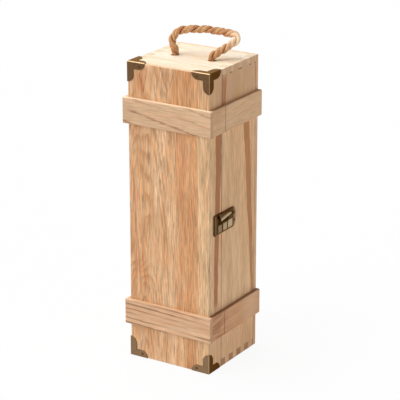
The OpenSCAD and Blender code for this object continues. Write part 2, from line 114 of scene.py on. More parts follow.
def smooth_line(points, step):
    """A Catmull-Rom curve through the points, with samples about step apart."""
    ends = [points[0] * 2 - points[1], *points, points[-1] * 2 - points[-2]]
    fine = []
    for a, b, c, d in zip(ends, ends[1:], ends[2:], ends[3:]):
        for i in range(CURVE_STEPS):
            t = i / CURVE_STEPS
            fine.append(0.5 * (2 * b + (c - a) * t + (2 * a - 5 * b + 4 * c - d) * t * t
                               + (3 * b - a - 3 * c + d) * t * t * t))
    fine.append(points[-1])
    along = [0.0]
    for a, b in zip(fine, fine[1:]):
        along.append(along[-1] + (b - a).length)
    count = max(2, round(along[-1] / step))
    line, k = [], 0
    for i in range(count + 1):
        at = along[-1] * i / count
        while k < len(along) - 2 and along[k + 1] < at:
            k += 1
        share = (at - along[k]) / max(along[k + 1] - along[k], TINY)
        line.append(fine[k].lerp(fine[k + 1], min(1.0, share)))
    return line


def length_of(line):
    return sum((b - a).length for a, b in zip(line, line[1:]))


rope_line = smooth_line(
    [Vector(p) * MM + Vector((0, 0, ROPE_AXIS_Z)) for p in ROUTE], ROPE_SAMPLE)
print("rope:", len(rope_line), "samples,", round(length_of(rope_line), 4), "m")

# %% [markdown]
# ## Tubes along a line
# A strand is a tube, and a tube needs two sideways directions at every sample that never
# twist by themselves. So each sample carries the last one's directions on, turned only
# as much as the line bends.

# %% Tubes


def frames_along(line):
    """The direction and two sideways directions at each sample of a line."""
    ways = [(line[min(i + 1, len(line) - 1)] - line[max(i - 1, 0)]).normalized()
            for i in range(len(line))]
    side = ways[0].orthogonal().normalized()
    out = []
    for i, way in enumerate(ways):
        if i:
            side = ways[i - 1].rotation_difference(way) @ side
        side = (side - way * side.dot(way)).normalized()
        out.append((way, side, way.cross(side)))
    return out


def tube(line, runs, radii, sides, verts, faces, uvs):
    """Adds a closed tube along a line, with a radius and a distance for each sample."""
    start, count = len(verts), len(line)
    for p, run, r, (_, a, b) in zip(line, runs, radii, frames_along(line)):
        for k in range(sides):
            turn = 2 * math.pi * k / sides
            verts.append(p + (a * math.cos(turn) + b * math.sin(turn)) * r)
            uvs.append((k / sides, run))
    for i in range(count - 1):
        for k in range(sides):
            j, n = (k + 1) % sides, start + i * sides
            faces.append((n + k, n + j, n + sides + j, n + sides + k))
    faces.append(tuple(start + k for k in reversed(range(sides))))
    faces.append(tuple(start + (count - 1) * sides + k for k in range(sides)))


print("tube tools ready")

# %% [markdown]
# ## Laid rope as a mesh
# A laid rope is three strands wound round each other, so each strand's centre runs on a
# helix round the rope's line. Real strands wander and swell a little, and the whole rope
# is squeezed in its holes and opens at a fold. The points keep two facts for the
# material: how far out of the rope's heart they lie, and where on their strand.

# %% Strands
ROPE_R = 4.0 * MM
STRANDS = 3
STRAND_SIDES = 18
LAY_M = 23.0 * MM
HELIX_SHARE, STRAND_SHARE = 0.52, 0.50
GIRTH_SWELL, GIRTH_WAVE = 0.03, LAY_M / 3.1
FOLD_SWELL, FOLD_REACH = 0.10, 9 * MM
SQUEEZED, RELEASED = 8 * MM, 16 * MM
WANDER, WANDER_WAVE, WANDER_SHIFT = 0.34, 11 * MM, 1.7
STRAND_SWELL, STRAND_WAVE, STRAND_SHIFT = 0.08, 6.5 * MM, 2.1
HEART_SHARE = 0.25


def ease(value, low, high):
    """0 below low, 1 above high, and smooth between them, for plain numbers."""
    share = min(1.0, max(0.0, (value - low) / (high - low)))
    return share * share * (3 - 2 * share)


def girth_at(run, whole, radius, fold, free):
    """The rope's radius at a distance along it. free is how much it swells where no
    hole squeezes it."""
    return radius * (1 + GIRTH_SWELL * math.sin(run / GIRTH_WAVE + 1.0)
                     + free * ease(min(run, whole - run), SQUEEZED, RELEASED)
                     + FOLD_SWELL * math.exp(-((run - fold) / FOLD_REACH) ** 2))


def laid_rope(name, line, radius, fold=-1.0, free=0.0):
    """Three strands wound round a line, as one mesh."""
    runs = [0.0]
    for a, b in zip(line, line[1:]):
        runs.append(runs[-1] + (b - a).length)
    around = frames_along(line)
    girths = [girth_at(run, runs[-1], radius, fold, free) for run in runs]
    verts, faces, uvs = [], [], []
    for s in range(STRANDS):
        path, radii = [], []
        for p, run, girth, (_, a, b) in zip(line, runs, girths, around):
            turn = 2 * math.pi * (s / STRANDS - run / LAY_M) \
                + WANDER * math.sin(run / WANDER_WAVE + s * WANDER_SHIFT)
            path.append(p + (a * math.cos(turn) + b * math.sin(turn)) * girth * HELIX_SHARE)
            swell = 1 + STRAND_SWELL * math.sin(run / STRAND_WAVE + s * STRAND_SHIFT)
            radii.append(girth * STRAND_SHARE * swell)
        tube(path, runs, radii, STRAND_SIDES, verts, faces, uvs)
    mesh = bpy.data.meshes.new(name)
    mesh.from_pydata(verts, [], faces)
    hearts = [line[i // STRAND_SIDES % len(line)] for i in range(len(verts))]
    outward = mesh.attributes.new("outward", "FLOAT", "POINT")
    outward.data.foreach_set("value", [
        min(1.0, max(0.0, ((v - c).length / radius - HEART_SHARE) / (1 - HEART_SHARE)))
        for v, c in zip(verts, hearts)])
    layer = mesh.uv_layers.new(name="strand")
    for loop, vert in zip(layer.data, mesh.loops):
        loop.uv = uvs[vert.vertex_index]
    mesh.shade_smooth()
    return add_object(name, mesh)


widest = max(range(len(rope_line)), key=lambda i: rope_line[i].x)
FOLD_M = length_of(rope_line[:widest + 1])
FREE_SWELL = 0.15
rope = laid_rope("rope_loop", rope_line, ROPE_R, FOLD_M, free=FREE_SWELL)
print(rope.name, len(rope.data.vertices), "points, fold at", round(FOLD_M, 4))

# %% [markdown]
# ## Knots under the top board
# Each end is tied off inside the box, so that the rope can't be pulled out. The knot is
# two tight turns of the same rope round itself, with a short tail. The line starts
# inside the hole, where the loop's own line ends, winds twice round itself, and hangs
# down.

# %% Knots
KNOT_TURNS, TURN_STEPS = 2, 8
HOLE_X, KNOT_TOP = 25.0 * MM, 0.3557
KNOT_SHARE, KNOT_SAMPLE = 0.95, 0.7 * MM
STEM = (1.8 * MM, 0.0, -3.0 * MM)
TURN_R, OPENING_STEPS = 5.6 * MM, 3
FIRST_DROP, TURN_DROP = 4.0 * MM, 7.0 * MM
TAIL = (5, 9, 12)
TAIL_FALL = 0.55 * MM
TAIL_LEFT, TAIL_RIGHT = -1.0 * MM, 1.5 * MM


def knot_line(x):
    """Down out of the hole, twice round, and down again."""
    top = Vector((x, 0, KNOT_TOP))
    points = [top + Vector((0, 0, z)) for z in STEM]
    for i in range(1, KNOT_TURNS * TURN_STEPS + 1):
        turn = 2 * math.pi * i / TURN_STEPS * (1 if x > 0 else -1)
        r = TURN_R * min(1.0, i / OPENING_STEPS)
        drop = FIRST_DROP + TURN_DROP * i / TURN_STEPS
        points.append(top + Vector((math.cos(turn) * r, math.sin(turn) * r, -drop)))
    low = points[-1].z
    aside = TAIL_RIGHT if x > 0 else TAIL_LEFT
    for step in TAIL:
        points.append(Vector((x + aside * step / TAIL[-1], 0, low - step * TAIL_FALL)))
    return smooth_line(points, KNOT_SAMPLE)


knots = [laid_rope(name, knot_line(x), ROPE_R * KNOT_SHARE)
         for name, x in (("rope_knot_left", -HOLE_X), ("rope_knot_right", HOLE_X))]
for knot in knots:
    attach(knot, "case")
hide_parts("rope_ends")
print("knots:", [knot.name for knot in knots])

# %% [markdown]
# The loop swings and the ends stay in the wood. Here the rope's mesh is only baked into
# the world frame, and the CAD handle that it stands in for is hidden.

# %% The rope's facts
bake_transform(rope)
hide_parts("rope_handle")

# %% [markdown]
# ## The hood of the latch
# The bar's hood is pressed from sheet, and its lower edge isn't level: it climbs towards
# the pivot, where the sheet runs out into the flat tab. A copy of the solid gets that
# slant by lifting the points of the lip, more the nearer they are to the pivot.

# %% Hood
SPLIT_MM = -27.0
MIDDLE_Z = 182.5
HOOD_FRONT, HOOD_BACK = -9.0, 13.5
HOOD_MARGIN = 0.2
LIP_LOW, LIP_HIGH = 3.7, 6.0
LIFT_FRONT, LIFT_BACK = 0.6, 4.2

hood = add_object("latch_hood", nodes["latch_bar"].data.copy())
for point in hood.data.vertices:
    behind = point.co.y / MM - SPLIT_MM
    above = point.co.z / MM - MIDDLE_Z
    if behind < HOOD_BACK + HOOD_MARGIN and LIP_LOW < above < LIP_HIGH:
        share = (behind - HOOD_FRONT) / (HOOD_BACK - HOOD_FRONT)
        point.co.z += (LIFT_FRONT + (LIFT_BACK - LIFT_FRONT) * share) * MM
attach(hood, "latch")
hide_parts("latch_bar")
pieces = {**nodes, hood.name: hood}
print("hood points:", len(hood.data.vertices))

# %% [markdown]
# ## Shader maths that reads like maths
# A material is a graph of nodes, and sums of textures get long there. This class wraps
# one output socket, so that `1 - mask * 0.5` builds the Math nodes for it. Colours and
# vectors go through Vector Math instead, because a Math node would turn them grey.

# %% Sockets with operators
WIDE = ("VECTOR", "RGBA")


class Signal:
    """One output socket of a graph."""

    def __init__(self, graph, socket):
        self.graph, self.socket = graph, socket

    def _do(self, operation, a, b):
        wide = any(isinstance(x, Signal) and x.socket.type in WIDE
                   or isinstance(x, (tuple, Vector)) for x in (a, b))
        kind = "ShaderNodeVectorMath" if wide else "ShaderNodeMath"
        return self.graph.node(kind, {"operation": operation}, {0: a, 1: b})

    def __add__(self, other):
        return self._do("ADD", self, other)

    def __radd__(self, other):
        return self._do("ADD", other, self)

    def __sub__(self, other):
        return self._do("SUBTRACT", self, other)

    def __rsub__(self, other):
        return self._do("SUBTRACT", other, self)

    def __mul__(self, other):
        return self._do("MULTIPLY", self, other)

    def __rmul__(self, other):
        return self._do("MULTIPLY", other, self)

    def __truediv__(self, other):
        return self._do("DIVIDE", self, other)

    def __neg__(self):
        return self * -1

    def __abs__(self):
        return self.graph.math("ABSOLUTE", self)


print("operators: + - * / and abs")

# %% [markdown]
# ## Graphs
# Every other node comes from one method that takes the node's type, its settings, and
# the values or links of its sockets. A few nodes are used so often that they get a name
# of their own. The same class builds a material and the world.

# %% Graphs and finishes
AXES = "xyz"


class Graph:
    """The nodes of a material or a world, under construction."""

    def __init__(self, owner):
        owner.use_nodes = True
        self.tree = owner.node_tree
        self.tree.nodes.clear()

    def feed(self, socket, value):
        """Links a signal to a socket, or sets the socket's own value."""
        if isinstance(value, Signal):
            self.tree.links.new(value.socket, socket)
        elif hasattr(socket.default_value, "__len__"):
            if not hasattr(value, "__len__"):
                value = (value,) * 3
            size = len(socket.default_value)
            socket.default_value = (tuple(value) + (1.0,))[:size]
        else:
            socket.default_value = value

    def node(self, kind, settings=None, values=None, out=0):
        """Any node: its type, its settings, and the values or links of its sockets."""
        made = self.tree.nodes.new(kind)
        for key, value in (settings or {}).items():
            setattr(made, key, value)
        for key, value in (values or {}).items():
            self.feed(made.inputs[key], value)
        return Signal(self, made.outputs[out]) if len(made.outputs) else made

    def math(self, operation, *values, clamp=False):
        return self.node("ShaderNodeMath",
                         {"operation": operation, "use_clamp": clamp},
                         dict(enumerate(values)))

    def mix(self, share, a, b):
        """Between two colours, by share."""
        return self.node("ShaderNodeMix", {"data_type": "RGBA"},
                         {0: share, 6: a, 7: b}, out=2)

    def mix_shaders(self, share, a, b):
        """Between two shaders, by share."""
        return self.node("ShaderNodeMixShader", None, {0: share, 1: a, 2: b})

    def smooth(self, value, low, high):
        """0 below low, 1 above high, and smooth between them."""
        return self.node("ShaderNodeMapRange", {"interpolation_type": "SMOOTHSTEP"},
                         {0: value, 1: low, 2: high})

    def noise(self, vector, scale, detail=2.0, rough=0.5, out=0):
        return self.node("ShaderNodeTexNoise", {"noise_dimensions": "3D"},
                         {"Vector": vector, "Scale": scale, "Detail": detail,
                          "Roughness": rough}, out=out)

    def place(self, out="Object"):
        """Where a point is on the piece at rest, in metres."""
        return self.node("ShaderNodeTexCoord", out=out)

    def split(self, vector):
        made = self.node("ShaderNodeSeparateXYZ", None, {0: vector})
        return [Signal(self, s) for s in made.socket.node.outputs]

    def join(self, x, y, z):
        return self.node("ShaderNodeCombineXYZ", None, {0: x, 1: y, 2: z})

    def bump(self, height, distance, strength=1.0):
        return self.node("ShaderNodeBump", None,
                         {"Height": height, "Distance": distance,
                          "Strength": strength})


class Finish(Graph):
    """A material with a Principled shader at its end."""

    def __init__(self, name):
        self.material = bpy.data.materials.new(name)
        super().__init__(self.material)
        self.shader = self.node("ShaderNodeBsdfPrincipled")
        self.end = self.node("ShaderNodeOutputMaterial", None, {0: self.shader})

    def facing(self):
        """The three parts of the direction in which the surface faces."""
        return dict(zip(AXES, self.split(self.place("Normal"))))

    def surface(self, **values):
        """Sets the shader's sockets, and gives the finished material."""
        for key, value in values.items():
            self.feed(self.shader.socket.node.inputs[key.replace("_", " ")], value)
        return self.material


def srgb(red, green, blue):
    """A colour as a picture editor gives it, 0 to 255, as the shader needs it."""
    def one(c):
        c /= 255
        return c / 12.92 if c <= 0.04045 else ((c + 0.055) / 1.055) ** 2.4
    return tuple(one(c) for c in (red, green, blue))


print("graphs ready")

# %% [markdown]
# ## Pine
# Pine is a stack of cones: each year adds a pale soft layer and a thin dark hard one.
# A board is a slice of that stack, so the honest way to paint it is in three dimensions.
# A wide panel is glued from staves, and each comes from its own tree, so a step at each
# glue line picks the stave's own numbers. Noise that is stretched along the grain makes
# streaks, dashes and fibres. Each line of the table is a noise: the width and length of
# its cells in millimetres, its detail, its roughness, and a shift to keep it apart.

# %% Boards, staves and noises
STAVE = dict(pith=(-22, 60), year=2.6, lean=0.0, rise=0.02, contrast=0.5, flame=0.5,
             onset=0.3,
             pale=(220, 180, 140), mid=(208, 164, 122), dark=(166, 110, 68),
             blush=(196, 136, 90))
CELLS = {
    "fibre": (0.6, 22, 2.0, 0.60, 1.0),
    "dash": (1.3, 17, 2.0, 0.55, 3.0),
    "streak": (3.6, 75, 2.0, 0.55, 4.0),
    "figure": (7.5, 46, 2.0, 0.55, 6.0),
    "broad": (22, 160, 1.0, 0.55, 8.0),
    "ragged": (1.6, 16, 1.0, 0.55, 5.0),
    "faded": (11, 120, 2.0, 0.55, 2.0),
    "sway": (900, 34, 2.0, 0.55, 0.0),
    "quiver": (900, 12, 2.0, 0.55, 9.0),
    "pores": (0.9, 0.9, 1.0, 0.55, 7.0),
    "glue_drops": (3.0, 3.0, 1.0, 0.55, 11.0),
    "glue_gaps": (4.0, 9.0, 1.0, 0.55, 13.0),
}
STAVE_SHIFT = 3.7
END_FACING = 0.55, 0.9


class Board(Finish):
    """A pine finish under construction. axes names three directions: along the grain,
    across it, and into the board. edges are the glue lines between the staves."""

    def __init__(self, name, axes, staves, edges, seed):
        super().__init__(name)
        self.part = dict(zip(AXES, self.split(self.place())))
        self.along, self.across, self.deep = (self.part[axis] for axis in axes)
        self.normal = self.facing()
        self.end_grain = self.smooth(abs(self.normal[axes[0]]), *END_FACING)
        self.steps = [self.math("GREATER_THAN", self.across, edge * MM)
                      for edge in edges]
        self.staves = [{**STAVE, **stave} for stave in staves]
        self.own, self.made = seed, {}
        for step in self.steps:
            self.own = step * STAVE_SHIFT + self.own

    def pick(self, key, item=None, paint=False):
        """The stave's own value, as a sum of steps."""
        values = [stave[key] if item is None else stave[key][item]
                  for stave in self.staves]
        values = [srgb(*v) if paint else v for v in values]
        picked = values[0]
        for step, one, two in zip(self.steps, values, values[1:]):
            rise = tuple(q - p for p, q in zip(one, two)) if paint else two - one
            picked = step * rise + picked
        return picked

    def cells(self, name):
        """One of the noises, built the first time that it is asked for."""
        if name not in self.made:
            wide, tall, detail, rough, shift = CELLS[name]
            flat = 1 / (wide * MM)
            spot = self.join(self.across * flat + self.own + shift, self.deep * flat,
                             self.along * (1 / (tall * MM)) + self.own)
            self.made[name] = self.noise(spot, 1.0, detail, rough)
        return self.made[name]

    def about(self, name, amount=1.0):
        """A noise that goes up and down round zero, by half the amount."""
        return (self.cells(name) - 0.5) * amount

    def bell(self, at_across, at_along, wide, tall):
        """1 at a place, and less the further a point is from it. All are millimetres."""
        across = (self.across - at_across * MM) * (1 / (wide * MM))
        along = (self.along - at_along * MM) * (1 / (tall * MM))
        return self.math("EXPONENT", -(across * across + along * along))

    def off(self, axis, place):
        """How far a point is from a plane, in metres."""
        return abs(self.part[axis] - place * MM)


print("noises of a board:", ", ".join(CELLS))

# %% [markdown]
# ## Rings
# The distance from the tree's pith, divided by the width of a year, counts the years,
# and the part after the point says where in the year a point lies. Long faces then show
# lines and flames, and end faces show arcs, without any picture or unwrapping. A slow
# noise bends the rings, a fast one frays them, and a swirl pushes them aside, as a knot
# nearby would.

# %% Late wood
BENDS_ACROSS, BENDS_ALONG, BEND_SHIFT = 24, 7, 5
BEND_MM, FRAY = 9.0, 0.5
LATE_FULL, YEAR_END = 0.78, (0.92, 1.0)
FADED = 0.34, 0.62


def late_wood(b, waves, rough_cut, swirls):
    """The share of dark late wood at a point."""
    spot = b.join(b.across * BENDS_ACROSS, b.deep * BENDS_ACROSS,
                  b.along * BENDS_ALONG + b.own * BEND_SHIFT)
    bend_across, bend_deep, _ = b.split(b.noise(spot, 1.0, 2.0, 0.5, out=1))
    bend = BEND_MM * MM * waves
    ring_across = b.across + (bend_across - 0.5) * bend - b.along * b.pick("lean") \
        - b.pick("pith", 0) * MM
    ring_deep = b.deep + (bend_deep - 0.5) * bend - b.along * b.pick("rise") \
        - b.pick("pith", 1) * MM
    radius = b.math("SQRT", ring_across * ring_across + ring_deep * ring_deep)
    for *place, push in swirls:
        radius = radius + b.bell(*place) * (push * MM)
    years = radius / (b.pick("year") * MM) + b.about("ragged", FRAY * rough_cut)
    phase = b.math("FRACT", years + b.own)
    onset = b.pick("onset")
    late = b.smooth(phase, onset, onset * 0.2 + LATE_FULL)
    late = late * (1 - b.smooth(phase, *YEAR_END))
    return late * b.smooth(b.cells("faded"), *FADED)


print("rings bend by up to", BEND_MM / 2, "mm")

# %% [markdown]
# ## Colour along the grain
# The layers go on in this order: two pale tones, reddish flames, blots at given places,
# the dark late wood, and fine streaks over all. Patches have soft edges, and blots are
# broken up by the grain.

# %% Long grain
TONE_RANGE, FLAME_RANGE, BLOT_RANGE = (0.36, 0.62), (0.50, 0.62), (0.38, 0.56)
STREAK_SHARE, DASH_SHARE = 0.35, 0.95


def long_grain(b, late, rough_cut, fine, blots, patches):
    """The wood's colour on its long faces."""
    colour = b.mix(b.smooth(b.cells("broad") + b.about("streak", 0.5), *TONE_RANGE),
                   b.pick("pale", paint=True), b.pick("mid", paint=True))
    flame = b.smooth(b.cells("figure") + b.about("dash", 0.8), *FLAME_RANGE)
    colour = b.mix(flame * b.pick("flame"), colour, b.pick("blush", paint=True))
    for *place, paint, strength in blots:
        broken = b.smooth(b.cells("figure") + b.about("streak") + b.about("dash", 0.9),
                          *BLOT_RANGE)
        colour = b.mix(b.bell(*place) * broken * strength, colour, srgb(*paint))
    colour = b.mix(late * b.pick("contrast"), colour, b.pick("dark", paint=True))
    colour = colour * (b.about("streak", STREAK_SHARE * rough_cut)
                       + b.about("dash", DASH_SHARE * rough_cut)
                       + b.about("fibre", fine) + 1.0)
    for *place, paint, strength in patches:
        colour = b.mix(b.bell(*place) * strength, colour,
                       srgb(*paint) * (b.about("fibre", 0.2) + 1.0))
    return colour


print("long grain ready")

# %% [markdown]
# ## Bands along the grain
# A heartwood stripe and a single dark flame are both bands: each has a middle and a half
# width at its low and at its high end, wavers a little, and fades out at both ends.
# A stripe is darker along its rims, and a flame is broken into dashes.

# %% Bands
QUIVER = 0.3
INNER_FADE = 0.3
FLAME_BAND = dict(waver=1.6, fade=5, blur=0.7)
STRIPE_BAND = dict(waver=5.5, fade=14, blur=0.9)
DASHED, RIM = (0.34, 0.54), (-1.6 * MM, -0.3 * MM)
RIM_SHARE, RIM_DARKER = 0.35, 0.76


def band(b, low, high, reach, waver, fade, blur):
    """A band's mask, and how far a point is outside its edge. low and high are the
    middle and the half width at the two ends, and reach says where those are."""
    start, end = reach
    share = (b.along - start * MM) * (1 / ((end - start) * MM))
    middle = share * ((high[0] - low[0]) * MM) + low[0] * MM \
        + b.about("sway", waver * MM) + b.about("quiver", waver * QUIVER * MM)
    half = share * ((high[1] - low[1]) * MM) + low[1] * MM
    away = abs(b.across - middle) - half
    inner = fade * INNER_FADE
    begun = b.smooth(b.along, (start - fade) * MM, (start + inner) * MM)
    over = b.smooth(b.along, (end - inner) * MM, (end + fade) * MM)
    return (1 - b.smooth(away, -blur * MM, blur * MM)) * begun * (1 - over), away


def with_bands(b, colour, flames, stripes):
    """The colour with its flames and stripes on it."""
    for *place, paint, strength in flames:
        inside, _ = band(b, *place, **FLAME_BAND)
        inside = inside * b.smooth(b.cells("dash") + b.about("fibre", 0.4), *DASHED)
        colour = b.mix(inside * strength, colour, srgb(*paint))
    for *place, paint, strength in stripes:
        inside, away = band(b, *place, **STRIPE_BAND)
        rim = b.smooth(away, *RIM) * inside
        painted = b.mix(rim * RIM_SHARE, srgb(*paint),
                        srgb(*(c * RIM_DARKER for c in paint)))
        painted = painted * (b.about("dash", 0.7) + b.about("streak", 0.6) + 1.0)
        inside = inside * (b.about("streak", 1.1) + 0.92)
        colour = b.mix(b.math("MULTIPLY", inside, strength, clamp=True), colour, painted)
    return colour


print("bands ready")

# %% [markdown]
# ## Ends, ledges and glue
# Cut across, the grain takes up dirt and oil from hands, and has its own tone. The
# narrow top of a batten gets painted light: a painted highlight on the front battens and
# painted shade on the right ones. Glue is a dark line between the fingers of a joint and
# in drops under the upper ones, and the seams get a dark line of painted shade and dirt.

# %% Ends and glue
FINGER_MM = 9.0
GLUE_DROPS, GLUE_JOINT, SEAM_SHADE_AND_DIRT = (112, 66, 30), (124, 74, 38), (112, 66, 32)
LINE_START, JOINT_LINE = 0.35, (0.015, 0.05)
DROP_LINE = 0.5 * MM, 1.2 * MM
UPWARD = 0.6, 0.95


def with_ends(b, colour, late, end, end_paint):
    """End grain: end is the strength of its paint."""
    speck = b.about("pores", 0.5) + (late - 0.2) * -0.16 + 1.0
    return b.mix(b.end_grain * end, colour, srgb(*end_paint) * speck)


def with_drops(b, colour, axis, place):
    """Glue that has come out under the fingers, in places."""
    line = (1 - b.smooth(b.off(axis, place), *DROP_LINE)) * b.end_grain
    line = line * b.smooth(b.cells("glue_drops"), 0.42, 0.52)
    return b.mix(line * 0.85, colour, srgb(*GLUE_DROPS))


def with_painted_ledge_light(b, colour, paint, strength):
    """The narrow face that looks up, with the given paint on it: a painted highlight on the
    front battens and painted shade on the right ones.
    """
    return b.mix(b.smooth(b.normal["z"], *UPWARD) * strength, colour,
                 srgb(*paint) * (b.about("streak", 0.5) + 1.0))


def with_fingers(b, colour, axis, centre, start):
    """Glue lines between the fingers, further than start from the board's centre."""
    reach = b.smooth(b.off(axis, centre), (start - 0.3) * MM, (start + 0.1) * MM)
    phase = b.math("FRACT",
                   (b.part["y"] - SPLIT_MM * MM) * (1 / (FINGER_MM * MM)) + 0.5)
    line = 1 - b.smooth(abs(phase - 0.5), *JOINT_LINE)
    line = line * b.smooth(b.cells("glue_gaps"), 0.40, 0.62)
    return b.mix(line * reach * 0.6, colour, srgb(*GLUE_JOINT))


def with_seam(b, colour, axis, place, width, strength):
    """A thin dark line round the board: painted shade and dirt in a seam."""
    line = 1 - b.smooth(b.off(axis, place), width * LINE_START * MM, width * MM)
    return b.mix(line * strength, colour, srgb(*SEAM_SHADE_AND_DIRT))


print("ends and glue ready")

# %% [markdown]
# ## The whole pine finish
# All layers together. A stave tells its tree's pith (across and deep), the width of a
# year, how far the rings lean and rise along the grain, where in the year the late wood
# begins, how strong it and the flames are, and its four paints. Places are millimetres,
# and paints are colours from 0 to 255.

# %% The pine material
WOOD_BUMP, WOOD_BUMP_SHARE = 0.16 * MM, 0.6


def pine(name, grain, across, depth, staves, seed, end, edges=(), waves=1.0,
         rough_cut=1.0, fine=0.3, swirls=(), blots=(), patches=(), flames=(),
         stripes=(), end_paint=(150, 104, 68), gap=None, ledge=None, joints=None,
         seams=()):
    """A board's finish. grain, across and depth name the board's axes, waves bends the
    rings, and rough_cut and fine strengthen the streaks. end and end_paint are for cut
    ends, gap is where glue came out, and ledge is a paint and its strength for painted
    light on a batten's top. joints tells where the fingers begin, and seams are dark lines
    of painted shade and dirt, at the saw cut and at glued joints."""
    b = Board(name, (grain, across, depth), staves, edges, seed)
    late = late_wood(b, waves, rough_cut, swirls)
    colour = long_grain(b, late, rough_cut, fine, blots, patches)
    colour = with_bands(b, colour, flames, stripes)
    colour = with_ends(b, colour, late, end, end_paint)
    if gap is not None:
        colour = with_drops(b, colour, depth, gap)
    # Painted light on a batten's top: a highlight at the front, shade at the right side.
    if ledge:
        colour = with_painted_ledge_light(b, colour, *ledge)
    if joints:
        colour = with_fingers(b, colour, *joints)
    # Dark lines of painted shade and dirt along the seams.
    for seam in seams:
        colour = with_seam(b, colour, *seam)
    rough = b.about("streak", 0.2) + 0.62 - late * 0.08
    height = late * 0.5 + b.cells("fibre") * 0.5 + b.cells("dash") * 0.7 \
        + b.cells("streak") * 0.3
    return b.surface(Base_Color=colour, Roughness=rough, Specular_IOR_Level=0.3,
                     Normal=b.bump(height, WOOD_BUMP, WOOD_BUMP_SHARE))


print("pine ready")

# %% [markdown]
# ## One finish for each board
# The lid was sawn off the finished box, so a board and its rail share one material: the
# grain then runs on across the saw cut, as it does on the real box. What several boards
# share is written once: their axes, end grain and joints.

# %% Looks that boards share
SIDE_JOINTS, END_JOINTS = ("z", 182.5, 173.5), ("x", 0.0, 46.0)
PANEL = dict(grain="z", across="x", depth="y", end=0.8, end_paint=(238, 214, 180))
SIDE = dict(grain="z", across="y", depth="x", end=0.85, joints=SIDE_JOINTS,
            end_paint=(236, 214, 182))
END = dict(grain="x", across="y", depth="z", joints=END_JOINTS)
FRONT_BATTEN = dict(grain="x", across="z", depth="y", end=0.3, rough_cut=0.8, waves=0.5)
SIDE_BATTEN = {**FRONT_BATTEN, "grain": "y", "depth": "x"}


def saw_cut(width, strength):
    """The seam where the lid was sawn off."""
    return "y", SPLIT_MM, width, strength


boards = {}
print("side battens:", SIDE_BATTEN)

# %% [markdown]
# The front panel is glued from three staves, and the middle one is more orange. Each
# line ends with a paint and a strength. Before them, a blot has its place and size, and
# a flame its low end, its high end and its reach along the grain.

# %% Front and back
FLAME = (186, 122, 74)
boards["pine_front"] = ["front_panel"], dict(
    **PANEL, seed=1.3, edges=(9.9, 39.5), waves=0.55, fine=1.3, rough_cut=1.6,
    staves=(
        dict(pith=(-34, -38), year=2.5, lean=0.01, rise=0.10, contrast=0.56, flame=0.5,
             pale=(221, 182, 142), mid=(209, 165, 123), blush=(192, 134, 84)),
        dict(pith=(-60, 30), year=2.1, lean=-0.02, rise=0.03, contrast=0.62, flame=0.6,
             pale=(218, 173, 129), mid=(204, 153, 108), blush=(190, 127, 78)),
        dict(pith=(-90, -30), year=2.3, lean=0.0, rise=0.0, contrast=0.55, flame=0.2,
             pale=(222, 186, 144), mid=(210, 171, 128)),
    ),
    swirls=((-40, 132, 13, 26, 8), (-6, 345, 6, 20, 4), (-46, 240, 8, 40, -4)),
    blots=(
        (-43, 120, 12, 52, FLAME, 0.72), (-47, 205, 5, 24, (196, 112, 76), 0.7),
        (-36, 340, 5, 13, (184, 104, 58), 0.7), (-5, 345, 4, 16, FLAME, 0.7),
        (22, 120, 14, 60, FLAME, 0.4), (-22, 20, 10, 30, FLAME, 0.45),
        (30, 20, 9, 30, FLAME, 0.4), (12, 345, 8, 14, FLAME, 0.4),
        (20, 260, 8, 40, (202, 128, 88), 0.35), (0, 344, 90, 26, (190, 134, 88), 0.55),
    ),
    flames=(
        ((-1.0, 0.7), (-10.0, 1.0), (338, 362), (134, 84, 48), 0.75),
        ((2.5, 0.8), (7.5, 0.8), (343, 362), (150, 94, 56), 0.6),
        ((-34.5, 1.2), (-39.0, 0.8), (334, 352), (160, 92, 50), 0.7),
        ((-33.5, 1.2), (-30.0, 0.8), (334, 352), (160, 92, 50), 0.7),
        ((-8.7, 2.2), (-8.7, 1.2), (333, 339), (188, 112, 66), 0.7),
        ((-46.0, 0.8), (-49.0, 1.0), (180, 235), (176, 110, 66), 0.6),
        ((-40.0, 0.9), (-44.0, 1.2), (84, 150), (170, 104, 60), 0.6),
        ((-33.0, 0.8), (-38.0, 0.8), (96, 138), (176, 112, 68), 0.5),
        ((18.0, 0.8), (15.0, 0.8), (90, 170), (182, 118, 74), 0.5),
        ((27.0, 0.8), (30.0, 0.8), (190, 280), (182, 118, 74), 0.4),
    ))
boards["pine_back"] = ["back_panel"], dict(
    **PANEL, seed=4.1, edges=(-18.0, 22.0), swirls=((30, 250, 14, 24, 8),),
    staves=(
        dict(pith=(-36, 30), year=2.8, rise=0.05),
        dict(pith=(2, 110), year=2.6, rise=-0.10, pale=(224, 188, 150)),
        dict(pith=(70, 20), year=2.4, flame=0.3),
    ))
print("panels:", list(boards))

# %% [markdown]
# The right side has three stripes of reddish heartwood: one beside the saw cut, a short
# one at the top, and one at the rear, in three lengths because it bends.

# %% Sides, top and bottom
boards["pine_right"] = ["case_right_side", "lid_right_rail"], dict(
    **SIDE, seed=7.7, seams=(saw_cut(1.0, 0.5), ("y", 47.7, 1.3, 0.55)),
    staves=(dict(pith=(18, 150), year=4.2, lean=0.015, contrast=0.35, flame=0.4,
                 pale=(224, 185, 142), mid=(216, 173, 128), dark=(182, 134, 90),
                 blush=(212, 164, 122)),),
    stripes=(
        ((-39.2, 3.6), (-33.4, 6.2), (85, 296), (168, 109, 66), 1.15),
        ((-22.6, 4.2), (-21.0, 4.6), (318, 352), (168, 110, 66), 0.95),
        ((43.4, 2.6), (40.0, 4.2), (78, 152), (182, 123, 74), 1.05),
        ((40.0, 4.2), (35.6, 4.9), (148, 192), (178, 118, 70), 1.1),
        ((35.6, 4.9), (27.6, 6.3), (188, 292), (180, 121, 72), 1.1),
    ),
    blots=((0, 350, 200, 30, (190, 142, 102), 0.5),),
    patches=(
        (5, 350, 60, 34, (194, 154, 116), 0.62), (8, 326, 12, 18, (190, 150, 98), 0.55),
        (-10, 334, 8, 24, (198, 152, 122), 0.5), (0, 16, 70, 26, (214, 162, 116), 0.4),
    ))
